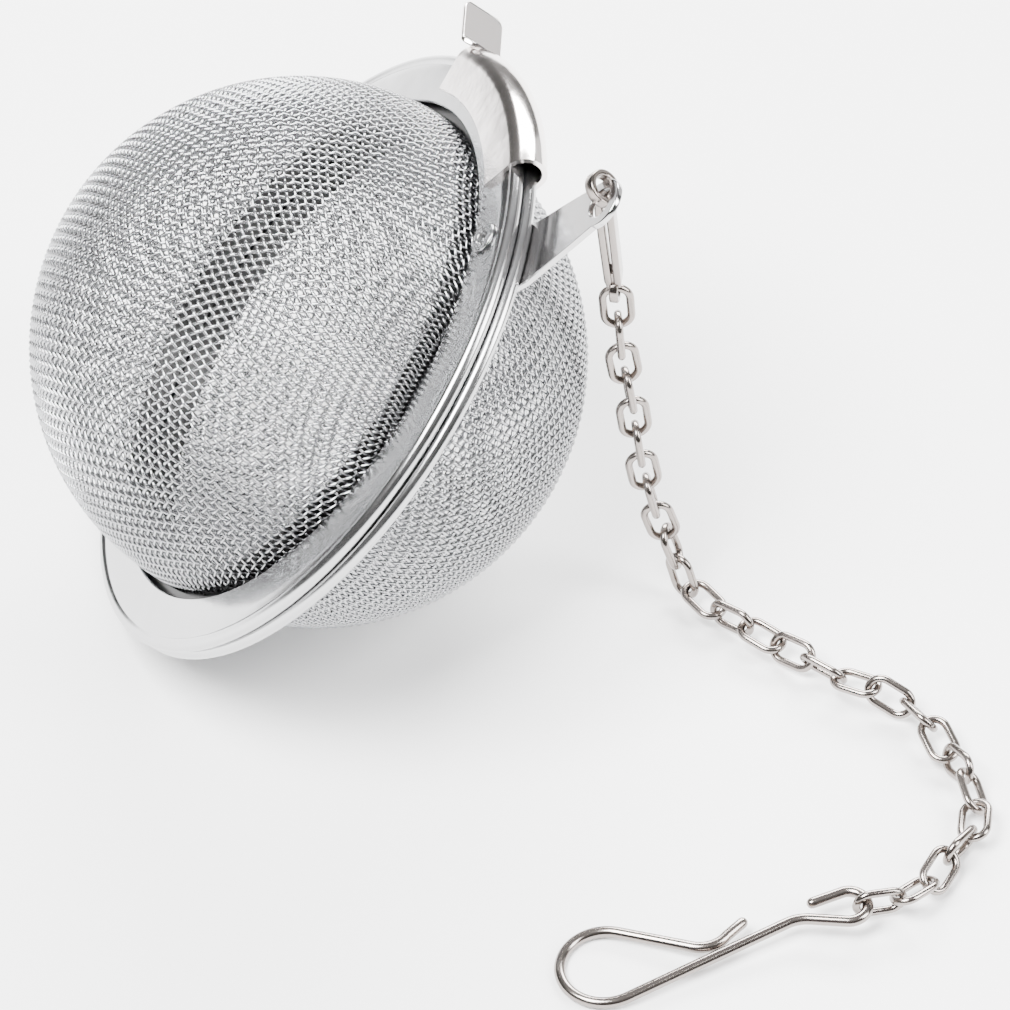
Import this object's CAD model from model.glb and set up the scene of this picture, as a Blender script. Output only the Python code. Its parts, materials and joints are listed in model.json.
"""Looks of the mesh ball tea infuser: woven wire bowls, rolled rims, clip, tabs, chain and hook."""
import json
import math

import bpy
import numpy as np
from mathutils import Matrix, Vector


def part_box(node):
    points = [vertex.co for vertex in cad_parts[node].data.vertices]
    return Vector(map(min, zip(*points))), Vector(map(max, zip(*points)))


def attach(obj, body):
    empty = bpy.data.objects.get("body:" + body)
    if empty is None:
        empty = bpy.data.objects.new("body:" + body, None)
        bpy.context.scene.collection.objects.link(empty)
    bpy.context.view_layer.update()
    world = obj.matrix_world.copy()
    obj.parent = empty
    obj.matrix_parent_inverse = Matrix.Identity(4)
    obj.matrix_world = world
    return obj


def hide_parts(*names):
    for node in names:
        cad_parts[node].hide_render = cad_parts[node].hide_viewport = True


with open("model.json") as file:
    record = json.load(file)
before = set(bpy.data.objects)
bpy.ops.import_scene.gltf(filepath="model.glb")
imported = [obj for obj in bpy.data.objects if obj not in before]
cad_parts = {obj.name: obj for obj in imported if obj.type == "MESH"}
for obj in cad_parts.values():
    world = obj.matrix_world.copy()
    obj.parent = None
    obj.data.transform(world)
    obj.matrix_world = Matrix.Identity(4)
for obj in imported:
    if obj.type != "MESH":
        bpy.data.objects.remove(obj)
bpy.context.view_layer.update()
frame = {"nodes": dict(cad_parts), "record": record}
record = frame["record"]
MM = 0.001

# ------------------------------------------------------------------ places read from the frame
joints = {j["name"]: j for j in record["behaviour"]["joints"]}


def middle(node):
    low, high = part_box(node)
    return (np.array(low) + np.array(high)) / 2


ball_mid = (middle("base_mesh_bowl") + middle("lid_mesh_bowl")) / 2
ball_up = -np.array(joints["bowl_swivel"]["axis"], float)
ball_up /= np.linalg.norm(ball_up)
to_pivot = np.array(joints["bowl_swivel"]["pos_m"], float) - ball_mid
ball_out = to_pivot - ball_up * (to_pivot @ ball_up)
ball_out /= np.linalg.norm(ball_out)
ball_side = np.cross(ball_up, ball_out)
BALL = np.stack([ball_out, ball_side, ball_up], axis=1)      # columns: to the pivot, along the rim, lid axis


def on_ball(points):
    """Millimetres in the ball's own frame to metres in the row frame."""
    return np.asarray(points, float) @ BALL.T * MM + ball_mid


def base_half(points):
    return np.asarray(points, float) * np.array([1, -1, -1])


# ------------------------------------------------------------------ camera
CAMERA_FROM_BALL = (15.8, -256.2, 238.8)      # mm, right, towards the viewer and up
CAMERA_TILT = 45                              # degrees down from the horizontal
camera_data = bpy.data.cameras.new("camera")
camera_data.lens = 154.2
camera_data.sensor_width = 36
camera_data.clip_start = 0.01
camera_data.clip_end = 10
camera = bpy.data.objects.new("camera", camera_data)
camera.location = Vector(ball_mid) + Vector(CAMERA_FROM_BALL) * MM
camera.rotation_euler = (math.radians(90 - CAMERA_TILT), 0, 0)
bpy.context.scene.collection.objects.link(camera)
bpy.context.scene.camera = camera


# ------------------------------------------------------------------ materials
def metal(name, colour, rough, rough_swing=0.0, bump=0.0, grain=400.0):
    """Bare metal with a little variation of roughness and a fine bump."""
    mat = bpy.data.materials.new(name)
    mat.use_nodes = True
    nodes, links = mat.node_tree.nodes, mat.node_tree.links
    shader = nodes["Principled BSDF"]
    shader.inputs["Base Color"].default_value = (*colour, 1)
    shader.inputs["Metallic"].default_value = 1
    shader.inputs["Roughness"].default_value = rough
    if rough_swing or bump:
        coords = nodes.new("ShaderNodeTexCoord")
        noise = nodes.new("ShaderNodeTexNoise")
        noise.inputs["Scale"].default_value = grain
        noise.inputs["Detail"].default_value = 4
        links.new(coords.outputs["Object"], noise.inputs["Vector"])
    if rough_swing:
        ramp = nodes.new("ShaderNodeMapRange")
        ramp.inputs["To Min"].default_value = max(0.02, rough - rough_swing)
        ramp.inputs["To Max"].default_value = rough + rough_swing
        links.new(noise.outputs["Fac"], ramp.inputs["Value"])
        links.new(ramp.outputs["Result"], shader.inputs["Roughness"])
    if bump:
        push = nodes.new("ShaderNodeBump")
        push.inputs["Strength"].default_value = bump
        push.inputs["Distance"].default_value = 0.0002
        links.new(noise.outputs["Fac"], push.inputs["Height"])
        links.new(push.outputs["Normal"], shader.inputs["Normal"])
    return mat


WOVEN = metal("woven_wire", (0.4, 0.405, 0.415), 0.24)
RIM = metal("rim_steel", (0.47, 0.47, 0.475), 0.2, rough_swing=0.07, bump=0.05, grain=500)
INNER = metal("rim_steel.inner", (0.07, 0.07, 0.07), 0.38, rough_swing=0.08)
CLIP = metal("clip_steel", (0.86, 0.81, 0.79), 0.15, rough_swing=0.06, bump=0.25, grain=230)
TAB = metal("tab_steel", (0.56, 0.55, 0.55), 0.13, rough_swing=0.06, bump=0.05, grain=350)
CHAIN = metal("chain_wire", (0.27, 0.24, 0.222), 0.2, rough_swing=0.05, bump=0.03, grain=600)


# ------------------------------------------------------------------ building helpers
def add_piece(name, verts, faces, mat, body, nodes=(), sharp=35):
    mesh = bpy.data.meshes.new(name)
    mesh.from_pydata([tuple(v) for v in np.asarray(verts, float)], [], faces)
    mesh.validate()
    return add_mesh(name, mesh, mat, body, nodes, sharp)


def add_mesh(name, mesh, mat, body, nodes=(), sharp=35):
    mesh.materials.clear()
    mesh.materials.append(mat)
    mesh.polygons.foreach_set("use_smooth", [True] * len(mesh.polygons))
    mesh.set_sharp_from_angle(angle=math.radians(sharp))
    obj = bpy.data.objects.new(name, mesh)
    bpy.context.scene.collection.objects.link(obj)
    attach(obj, body)
    if nodes:
        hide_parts(*nodes)
    return obj


def skin(rings, closed=False, offset=0):
    """Faces over rings of points, each ring a closed loop. Ends are capped unless the rings close."""
    count, around = len(rings), len(rings[0])
    faces = []
    for i in range(count if closed else count - 1):
        a, b = offset + i * around, offset + ((i + 1) % count) * around
        for k in range(around):
            j = (k + 1) % around
            faces.append((a + k, b + k, b + j, a + j))
    if not closed:
        faces.append(tuple(offset + k for k in range(around)))
        faces.append(tuple(offset + (count - 1) * around + k for k in reversed(range(around))))
    return faces


def rounded(points, radius, steps=4):
    """The closed outline with each corner rounded."""
    out = []
    points = [np.array(p, float) for p in points]
    for i, p in enumerate(points):
        a, b = points[i - 1], points[(i + 1) % len(points)]
        to_a, to_b = (a - p), (b - p)
        r = min(radius, 0.45 * np.linalg.norm(to_a), 0.45 * np.linalg.norm(to_b))
        start = p + to_a / np.linalg.norm(to_a) * r
        end = p + to_b / np.linalg.norm(to_b) * r
        for s in np.linspace(0, 1, steps + 1):
            out.append((1 - s) ** 2 * start + 2 * s * (1 - s) * p + s * s * end)
    return np.array(out)


def lathe(outline, start=0.0, stop=360.0, steps=288):
    """Rings of the outline, given as (radius, height), turned round the ball's axis."""
    closed = stop - start > 359.9
    angles = np.radians(np.linspace(start, stop, steps, endpoint=not closed))
    radius, height = outline[:, 0], outline[:, 1]
    return [np.stack([radius * math.cos(a), radius * math.sin(a), height], 1) for a in angles], closed


def tube(path, radius, sides=16, closed=False, round_ends=True):
    """Rings of a round wire along a path; the free ends are rounded."""
    path = np.asarray(path, float)
    n = len(path)
    if closed:
        aim = np.roll(path, -1, 0) - np.roll(path, 1, 0)
    else:
        aim = np.gradient(path, axis=0)
    aim /= np.linalg.norm(aim, axis=1)[:, None]
    helper = np.array([0, 0, 1.0]) if abs(aim[0][2]) < 0.9 else np.array([1.0, 0, 0])
    across = np.cross(aim[0], helper)
    across /= np.linalg.norm(across)
    angles = np.linspace(0, 2 * math.pi, sides, endpoint=False)
    rings = []
    for i in range(n):
        across = across - aim[i] * (across @ aim[i])
        across /= np.linalg.norm(across)
        other = np.cross(aim[i], across)
        rings.append(path[i] + radius * (np.cos(angles)[:, None] * across + np.sin(angles)[:, None] * other))
    if not closed and round_ends:
        first, last = [], []
        for a in (80, 55, 30):
            s, c = math.sin(math.radians(a)), math.cos(math.radians(a))
            first.append(path[0] + (rings[0] - path[0]) * c - aim[0] * radius * s)
            last.insert(0, path[-1] + (rings[-1] - path[-1]) * c + aim[-1] * radius * s)
        rings = first + rings + last
    return rings


def arc(centre, radius, start, stop, steps=24):
    angles = np.radians(np.linspace(start, stop, steps))
    return np.stack([centre[0] + radius * np.cos(angles), centre[1] + radius * np.sin(angles)], 1)


def holed(mesh, place, radius):
    """The mesh with a round hole along the ball's axis, at a place in the ball's frame."""
    sides, reach = 40, 6
    angles = np.linspace(0, 2 * math.pi, sides, endpoint=False)
    ring = np.stack([place[0] + radius * np.cos(angles), place[1] + radius * np.sin(angles)], 1)
    rings = [on_ball(np.column_stack([ring, np.full(sides, h)])) for h in (-reach, reach)]
    cutter_mesh = bpy.data.meshes.new("cutter")
    cutter_mesh.from_pydata([tuple(v) for v in np.concatenate(rings)], [], skin(rings))
    cutter = bpy.data.objects.new("cutter", cutter_mesh)
    body = bpy.data.objects.new("cut_body", mesh)
    for o in (cutter, body):
        bpy.context.scene.collection.objects.link(o)
    change = body.modifiers.new("hole", "BOOLEAN")
    change.object, change.operation, change.solver = cutter, "DIFFERENCE", "EXACT"
    bpy.context.view_layer.update()
    result = bpy.data.meshes.new_from_object(body.evaluated_get(bpy.context.evaluated_depsgraph_get()))
    for o in (cutter, body):
        bpy.data.objects.remove(o)
    return result


# ------------------------------------------------------------------ sizes in the ball's frame, in mm
PIVOT_R = float(np.linalg.norm(to_pivot - ball_up * (to_pivot @ ball_up)) / MM)
MESH_R = 21.72           # to the middle of the weave
RISE = 0.8               # the half ball's centre above the joint plane
WIRE_R = 0.13
PITCH = 0.67
MESH_LOW = 0.38          # where the weave goes under the rim, above the joint plane
NET_LOW = -0.12          # height on the unit sphere below which no more cells are laid
LEAST_END = 0.15         # no end piece of wire is shorter than this
LID_TURN, BASE_TURN = 14, 34                  # degrees, how the cloth of each bowl lies
SHEET_IN, SHEET_TOP, SHEET_T, BEAD_R, RIM_R = 22.6, 1.25, 0.4, 0.6, 27.0
CLAMP_IN, CLAMP_OUT, CLAMP_LOW, CLAMP_T, CLAMP_TOP = 21.1, 25.7, 0.1, 0.25, 2.4
RIVET_R, RIVET_BORE, RIVET_HEAD = 1.0, 0.6, 1.3


# ------------------------------------------------------------------ woven bowls
def net(pitch_angle, count):
    """A net of equal cells laid over the unit sphere from its pole, as wire cloth is when it is pressed."""
    cos_step = math.cos(pitch_angle)
    grid = np.full((count, count, 3), np.nan)
    for i in range(count):
        a = i * pitch_angle
        grid[i, 0] = (math.sin(a), 0, math.cos(a))
        grid[0, i] = (0, math.sin(a), math.cos(a))
    for i in range(1, count):
        for j in range(1, count):
            a, b, back = grid[i - 1, j], grid[i, j - 1], grid[i - 1, j - 1]
            if np.isnan(a[0]) or np.isnan(b[0]) or a[2] < NET_LOW or b[2] < NET_LOW:
                continue
            c = a @ b
            along = cos_step / (1 + c)
            left = 1 - 2 * along * along * (1 + c)
            if left <= 0 or c > 0.9999999:
                continue
            reach = math.sqrt(left / (1 - c * c)) * np.cross(a, b)
            options = [along * (a + b) + reach, along * (a + b) - reach]
            grid[i, j] = max(options, key=lambda p: np.linalg.norm(p - back))
    return grid


def woven_bowl(name, body, node, turn, flip):
    step = PITCH / MESH_R
    count = int(math.pi / 2 / step) + 3
    quarter = net(step, count)
    full = np.full((2 * count - 1, 2 * count - 1, 3), np.nan)
    for si in (1, -1):
        for sj in (1, -1):
            for i in range(count):
                for j in range(count):
                    full[count - 1 + si * i, count - 1 + sj * j] = quarter[i, j] * (si, sj, 1)
    c, s = math.cos(math.radians(turn)), math.sin(math.radians(turn))
    spin = np.array([[c, -s, 0], [s, c, 0], [0, 0, 1]])
    lowest = -(RISE - MESH_LOW) / MESH_R
    for family, label in ((0, "warp"), (1, "weft")):
        grid = full if family == 0 else full.transpose(1, 0, 2)
        weave = 1 if family == 0 else -1
        verts, faces = [], []
        for row in range(grid.shape[1]):
            line = grid[:, row]
            good = ~np.isnan(line[:, 0]) & (np.nan_to_num(line[:, 2], nan=-1) > lowest)
            index = np.flatnonzero(good)
            if len(index) < 3:
                continue
            # keep the run through the middle
            runs = np.split(index, np.flatnonzero(np.diff(index) > 1) + 1)
            run = max(runs, key=len)
            path = []
            for k, i in enumerate(run):
                lift = WIRE_R * weave * (1 if (i + row) % 2 else -1)
                if k:
                    half = (line[run[k - 1]] + line[i]) / 2
                    path.append(half / np.linalg.norm(half) * MESH_R)
                path.append(line[i] * (MESH_R + lift))
            for end, at in ((0, run[0] - 1), (-1, run[-1] + 1)):
                inner = line[run[end]]
                if 0 <= at < len(line) and not np.isnan(line[at][0]):
                    beyond = line[at]
                    s_cut = (inner[2] - lowest) / max(1e-9, inner[2] - beyond[2])
                    point = inner + (beyond - inner) * min(1.0, max(0.0, s_cut))
                    point = point / np.linalg.norm(point) * MESH_R
                    if np.linalg.norm(point - np.array(path[end])) > LEAST_END:
                        path = [point] + path if end == 0 else path + [point]
            rings = tube(np.array(path), WIRE_R, sides=5, round_ends=False)
            faces += skin(rings, offset=len(verts))
            for ring in rings:
                verts.extend(ring)
        points = np.array(verts) @ spin.T + np.array([0, 0, RISE])
        points = base_half(points) if flip else points
        add_piece(name + "_" + label, on_ball(points), faces, WOVEN, body,
                  (node,) if family == 0 else (), sharp=180)


woven_bowl("lid_weave", "lid", "lid_mesh_bowl", LID_TURN, False)
woven_bowl("base_weave", "base", "base_mesh_bowl", BASE_TURN, True)


# ------------------------------------------------------------------ rims, clamp rings and eyelet
def rim_outline():
    """Flat sheet whose edge is rolled into a bead."""
    bead = arc((RIM_R - BEAD_R, SHEET_TOP - BEAD_R), BEAD_R, 128, -215, 44)
    inner = [(SHEET_IN + 0.15, SHEET_TOP - SHEET_T), (SHEET_IN, SHEET_TOP - SHEET_T + 0.08),
             (SHEET_IN, SHEET_TOP - 0.08), (SHEET_IN + 0.08, SHEET_TOP), (24, SHEET_TOP),
             (25.3, SHEET_TOP - 0.005), (25.8, SHEET_TOP - 0.06)]
    under = [(25.4, SHEET_TOP - SHEET_T), (24, SHEET_TOP - SHEET_T)]
    return np.array(inner + [tuple(p) for p in bead] + under)


def clamp_outline():
    """Flat flange between the rims, with a short upright band inside the bowl."""
    shelf, wall = CLAMP_LOW + CLAMP_T, CLAMP_IN + CLAMP_T
    return rounded([(CLAMP_IN, CLAMP_LOW), (CLAMP_OUT, CLAMP_LOW), (CLAMP_OUT, shelf), (wall, shelf),
                    (wall, CLAMP_TOP), (CLAMP_IN, CLAMP_TOP)], 0.08)


for half, flip, hole in (("lid", False, 1.05), ("base", True, 1.02)):
    for part, outline in (("rim_ring", rim_outline()), ("clamp_ring", clamp_outline())):
        rings, closed = lathe(outline)
        points = np.concatenate(rings)
        if flip:
            points = base_half(points)
        mesh = bpy.data.meshes.new("ring")
        mesh.from_pydata([tuple(v) for v in on_ball(points)], [], skin(rings, closed))
        mesh = holed(mesh, (PIVOT_R, 0), hole)
        mat = RIM if part == "rim_ring" else INNER
        add_mesh(f"{half}_{part}_piece", mesh, mat, half, (f"{half}_{part}",))

eyelet = rounded([(RIVET_BORE, 1.34), (RIVET_BORE, 1.55), (RIVET_HEAD, 1.55), (RIVET_HEAD, 1.3), (RIVET_R, 1.3),
                  (RIVET_R, -1.75), (RIVET_HEAD, -1.75), (RIVET_HEAD, -2.0), (RIVET_BORE, -2.0)], 0.11, 5)
rings, closed = lathe(eyelet, steps=64)
add_piece("pivot_eyelet_piece", on_ball(np.concatenate(rings) + np.array([PIVOT_R, 0, 0])),
          skin(rings, closed), RIM, "base", ("pivot_eyelet",))


# ------------------------------------------------------------------ chain tab
def plate(outlines, thickness, edge):
    """A flat plate from closed outlines, the first the outside and the rest holes, with rounded edges."""
    curve = bpy.data.curves.new("plate", "CURVE")
    curve.dimensions, curve.fill_mode = "2D", "BOTH"
    curve.extrude, curve.bevel_depth, curve.bevel_resolution = thickness / 2 - edge, edge, 3
    curve.offset = -edge
    for outline in outlines:
        spline = curve.splines.new("POLY")
        spline.points.add(len(outline) - 1)
        for p, (x, y) in zip(spline.points, outline):
            p.co = (x, y, 0, 1)
        spline.use_cyclic_u = True
    obj = bpy.data.objects.new("plate", curve)
    bpy.context.scene.collection.objects.link(obj)
    bpy.context.view_layer.update()
    mesh = bpy.data.meshes.new_from_object(obj.evaluated_get(bpy.context.evaluated_depsgraph_get()))
    bpy.data.objects.remove(obj)
    return mesh


TAB_N = -1.5                                  # height of the tab's middle
TAB_AT, TAB_R, TAB_HOLE_R, TAB_T = 34.9, 2.1, 1.2, 0.5
ROOT_IN, ROOT_NEAR, ROOT_FAR = 22.9, 1.8, -4.0
outside = [(ROOT_IN, ROOT_NEAR), (ROOT_IN, ROOT_FAR), (RIM_R, ROOT_FAR)] \
    + [tuple(p) for p in arc((TAB_AT, 0), TAB_R, -104, 88, 44)] + [(RIM_R, ROOT_NEAR)]
hole = [tuple(p) for p in arc((TAB_AT, 0), TAB_HOLE_R, 360, 9, 40)]
rivet = [tuple(p) for p in arc((PIVOT_R, 0), RIVET_R + 0.02, 360, 9, 40)]
mesh = plate([outside, hole, rivet], TAB_T, 0.1)
for v in mesh.vertices:
    v.co = Vector(on_ball([v.co[0], v.co[1], v.co[2] + TAB_N]))
add_mesh("chain_tab_piece", mesh, TAB, "base", ("chain_tab",))


# ------------------------------------------------------------------ spring clip with its thumb tab
BACK_AT, CLIP_MID, CLIP_IN, CLIP_T = 26.7, -0.05, 1.3, 0.4
LID_LIP, BASE_LIP = 23.7, 24.8                # how far in each side of the fold reaches
CLIP_FROM, CLIP_TO = 13, 55                   # degrees round the rim from the rivet
top, bottom, soft = CLIP_MID + CLIP_IN, CLIP_MID - CLIP_IN, 0.08
outer = arc((BACK_AT, CLIP_MID), CLIP_IN + CLIP_T, 90, -90, 30)
inner = arc((BACK_AT, CLIP_MID), CLIP_IN, -90, 90, 30)
profile = [(LID_LIP + soft, top + CLIP_T)] + [tuple(p) for p in outer] \
    + [(BASE_LIP + soft, bottom - CLIP_T), (BASE_LIP, bottom - CLIP_T + soft), (BASE_LIP, bottom - soft),
       (BASE_LIP + soft, bottom)] + [tuple(p) for p in inner] \
    + [(LID_LIP + soft, top), (LID_LIP, top + soft), (LID_LIP, top + CLIP_T - soft)]
clip_rings, _ = lathe(np.array(profile), CLIP_FROM, CLIP_TO, 60)
verts = list(np.concatenate(clip_rings))
faces = skin(clip_rings)

# the tab leaves the clip's back along the rim and then flares out
THUMB_R, THUMB_HALF, THUMB_REACH, BEND_R, CORNER = 28.2, 2.0, 4.15, 0.9, 0.9
end = math.radians(CLIP_TO)
out_dir = np.array([math.cos(end), math.sin(end), 0])
along_dir = np.array([-math.sin(end), math.cos(end), 0])
spine = []
for s in np.linspace(0, 1, 5)[:-1]:
    a = math.radians(CLIP_TO - 1.8 * (1 - s))
    spine.append((THUMB_R * math.cos(a), THUMB_R * math.sin(a), 0))
for s in np.linspace(0, 45, 9):
    r = math.radians(s)
    spine.append(THUMB_R * out_dir + along_dir * BEND_R * math.sin(r) + out_dir * BEND_R * (1 - math.cos(r)))
flare = (along_dir + out_dir) / math.sqrt(2)
start = np.array(spine[-1])
for s in np.linspace(0, 1, 22)[1:]:
    spine.append(start + flare * THUMB_REACH * (1 - (1 - s) ** 1.6))
spine = np.array(spine)
travel = np.concatenate([[0], np.cumsum(np.linalg.norm(np.diff(spine, axis=0), axis=1))])
aim = np.gradient(spine, axis=0)
aim /= np.linalg.norm(aim, axis=1)[:, None]
rings = []
for p, d, t in zip(spine, aim, travel):
    left = travel[-1] - t
    half = THUMB_HALF if t > 1.3 else 1.2 + 0.8 * (0.5 - 0.5 * math.cos(math.pi * t / 1.3))
    if left < CORNER:
        half = half - CORNER + math.sqrt(max(0.0, CORNER ** 2 - (CORNER - left) ** 2))
    side = np.array([d[1], -d[0], 0])
    thick = 0.2 if left > 0.12 else 0.2 * math.sqrt(max(0.05, 1 - (1 - left / 0.12) ** 2))
    section = rounded([(-thick, -half), (thick, -half), (thick, half), (-thick, half)], 0.1, 3)
    rings.append(p + section[:, :1] * side + section[:, 1:] * np.array([0, 0, 1]) + np.array([0, 0, CLIP_MID]))
faces += skin(rings, offset=len(verts))
verts += list(np.concatenate(rings))
add_piece("rim_clip_piece", on_ball(verts), faces, CLIP, "lid", ("rim_clip",))


# ------------------------------------------------------------------ strap connector
web = np.array(joints["strap_swing"]["pos_m"], float)
bar = np.array(joints["chain_link_01_swing"]["pos_m"], float)
drop = float(np.linalg.norm(bar - web) / MM)
down = (bar - web) / np.linalg.norm(bar - web)
wide = np.array(joints["chain_link_01_swing"]["axis"], float)
wide *= np.sign(wide @ ball_side)
wide = wide - down * (wide @ down)
wide /= np.linalg.norm(wide)
STRAP = np.stack([np.cross(wide, -down), wide, -down], axis=1)


def on_strap(points):
    return np.asarray(points, float) @ STRAP.T * MM + web


verts, faces = [], []


def add_rings(rings, closed=False):
    faces.extend(skin(rings, closed, offset=len(verts)))
    for ring in rings:
        verts.extend(ring)


def slab(thick, width, corner=0.14):
    return rounded([(-thick, -width), (thick, -width), (thick, width), (-thick, width)], corner, 3)


def ring_band(radius, section, to_place):
    rings = []
    for a in np.radians(np.linspace(0, 360, 56, endpoint=False)):
        radial = np.array([0, math.cos(a), math.sin(a)])
        rings.append(to_place(section[:, 1:] * np.array([1.0, 0, 0]) + (radius + section[:, :1]) * radial))
    add_rings(rings, closed=True)


def beside_web(points):
    return np.asarray(points) @ BALL.T * MM + web


EYE_R, RING_R, HALF_T = 1.2, 0.9, 0.25          # two eyes, to the middle of their 0.5 mm strip
ring_at = drop - RING_R
leg_end = ring_at - RING_R + 0.1
ring_band(EYE_R, slab(HALF_T, 0.45), beside_web)
ring_band(RING_R, slab(HALF_T, 0.35), lambda p: on_strap(p + np.array([0, 0, -ring_at])))
knuckle = []
for a in np.radians(np.linspace(-86, 86, 18)):
    r, h = 0.6 * math.cos(a), 0.6 * math.sin(a)
    turn = np.linspace(0, 2 * math.pi, 24, endpoint=False)
    height = np.full_like(turn, h - 1.1)
    knuckle.append(beside_web(np.stack([r * np.cos(turn) - 0.4, r * np.sin(turn), height], 1)))
add_rings(knuckle)
for side in (-1, 1):
    leg = []
    for s in np.linspace(0, 1, 14):
        z = -1.25 - (leg_end - 1.25) * s
        x = side * (0.425 - 0.06 * s * s)
        size = (0.3, 0.7) if 0 < s < 1 else (0.22, 0.56)
        section = slab(*size)
        leg.append(on_strap(np.column_stack([section[:, 0] + x, section[:, 1], np.full(len(section), z)])))
    add_rings(leg)
neck = []
for z, w, t in ((1.6, 0.5, 0.3), (1.4, 0.54, 0.44), (0.3, 0.5, 0.42), (-0.12, 0.38, 0.34)):
    section = slab(t, w)
    neck.append(on_strap(np.column_stack([section, np.full(len(section), z - leg_end)])))
add_rings(neck)
add_piece("strap_piece", verts, faces, CHAIN, "strap", ("strap_connector",))


# ------------------------------------------------------------------ chain links
def lying_of(node):
    """Centre of a node and the directions of its length and width, from its own points."""
    points = np.array([v.co[:] for v in frame["nodes"][node].data.vertices])
    centre = (points.max(0) + points.min(0)) / 2
    vectors = np.linalg.eigh(np.cov((points - centre).T))[1]
    return centre, vectors[:, 2], vectors[:, 1]


HALF_LEN, ARC_R, LINK_R = 1.925, 1.075, 0.325
straight = HALF_LEN - ARC_R
outline = np.concatenate([arc((straight, 0), ARC_R, -90, 90, 15), arc((-straight, 0), ARC_R, 90, 270, 15)])
link_path = np.column_stack([outline, np.zeros(len(outline))])
link_rings = tube(link_path, LINK_R, sides=16, closed=True)
link_verts = np.concatenate(link_rings)
link_faces = skin(link_rings, closed=True)
link_nodes = sorted(n for n in frame["nodes"] if n.startswith("chain_link_"))
for node in link_nodes:
    centre, length, width = lying_of(node)
    place = np.stack([length, width, np.cross(length, width)], axis=1)
    body = "link_" + node[-2:]
    add_piece(node + "_piece", link_verts @ place.T * MM + centre, link_faces, CHAIN, body, (node,))


# ------------------------------------------------------------------ cup hook
hook_low, hook_high = (np.array(v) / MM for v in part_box("cup_hook"))
HOOK_R, EYE_BEND_R, SHANK_STEP = 0.45, 1.5, 0.7
LOOP_AT, LOOP_R = (-19, -4.85), 3.5
bends = [arc((0, 0), EYE_BEND_R, 100, -98, 30), arc((-3.46, -4.06), 3, 82, 117.5, 8),
         arc(LOOP_AT, LOOP_R, -62.5, -287.3, 44), arc((-11.52, -1.0), 2.4, -107.3, -35, 14)]
flat_path = [(-2.8, 0.5)] + [tuple(p) for bend in bends for p in bend] + [(-8.3, -1.15)]
dense = []
for p, q in zip(flat_path, flat_path[1:]):
    n = max(1, int(math.dist(p, q) / SHANK_STEP))
    dense += [(p[0] + (q[0] - p[0]) * k / n, p[1] + (q[1] - p[1]) * k / n) for k in range(n)]
dense = np.array(dense + [flat_path[-1]])
# the loop lies on the floor and the eye is held up by the last link
tilt = max(0.0, math.asin(((hook_high[2] - hook_low[2]) - 2 * HOOK_R) / (LOOP_R - LOOP_AT[0])))
hook_path = np.column_stack([dense[:, 0] * math.cos(tilt), dense[:, 1], dense[:, 0] * math.sin(tilt)])
shift = hook_high - hook_path.max(0) - HOOK_R
rings = tube(hook_path + shift, HOOK_R, sides=20)
add_piece("cup_hook_piece", np.concatenate(rings) * MM, skin(rings), CHAIN, "hook", ("cup_hook",))


# ------------------------------------------------------------------ floor and light
FLOOR_SIZE = 6                                # metres


def stage_plane(name, size, mat):
    mesh = bpy.data.meshes.new(name)
    h = size / 2
    mesh.from_pydata([(-h, -h, 0), (h, -h, 0), (h, h, 0), (-h, h, 0)], [], [(0, 1, 2, 3)])
    mesh.materials.append(mat)
    obj = bpy.data.objects.new(name, mesh)
    bpy.context.scene.collection.objects.link(obj)
    return obj


floor_mat = bpy.data.materials.new("floor")
floor_mat.use_nodes = True
floor_shader = floor_mat.node_tree.nodes["Principled BSDF"]
floor_shader.inputs["Base Color"].default_value = (0.97, 0.97, 0.97, 1)
floor_shader.inputs["Roughness"].default_value = 0.9
floor_shader.inputs["Specular IOR Level"].default_value = 0.1
stage_plane("floor", FLOOR_SIZE, floor_mat)


def area_light(name, place, size, power, look_at, colour=(1, 1, 1)):
    data = bpy.data.lights.new(name, "AREA")
    data.shape, data.size, data.size_y = "RECTANGLE", size[0], size[1]
    data.energy, data.color = power, colour
    obj = bpy.data.objects.new(name, data)
    obj.location = place
    obj.rotation_euler = (Vector(look_at) - Vector(place)).to_track_quat("-Z", "Y").to_euler()
    bpy.context.scene.collection.objects.link(obj)


area_light("key", (-0.3, -0.2, 0.7), (0.4, 0.4), 26, (0, 0, 0))
area_light("fill", (0.55, -0.15, 0.45), (0.25, 0.5), 9, (0, 0, 0))
area_light("back", (0.1, 0.7, 0.5), (0.7, 0.3), 24, (0, 0, 0))
area_light("side", (0.61, 0.48, 0.22), (0.5, 0.35), 0.7, (0, 0, 0))

world = bpy.data.worlds.new("studio")
world.use_nodes = True
bpy.context.scene.world = world
nodes, links = world.node_tree.nodes, world.node_tree.links
coords = nodes.new("ShaderNodeTexCoord")
split = nodes.new("ShaderNodeSeparateXYZ")
ramp = nodes.new("ShaderNodeValToRGB")
ramp.color_ramp.elements[0].position, ramp.color_ramp.elements[0].color = 0.0, (0.1, 0.1, 0.1, 1)
ramp.color_ramp.elements[1].position, ramp.color_ramp.elements[1].color = 0.95, (0.62, 0.62, 0.63, 1)
mid = ramp.color_ramp.elements.new(0.6)
mid.color = (0.2, 0.195, 0.19, 1)
links.new(coords.outputs["Generated"], split.inputs["Vector"])
links.new(split.outputs["Z"], ramp.inputs["Fac"])
links.new(ramp.outputs["Color"], nodes["Background"].inputs["Color"])
nodes["Background"].inputs["Strength"].default_value = 0.9
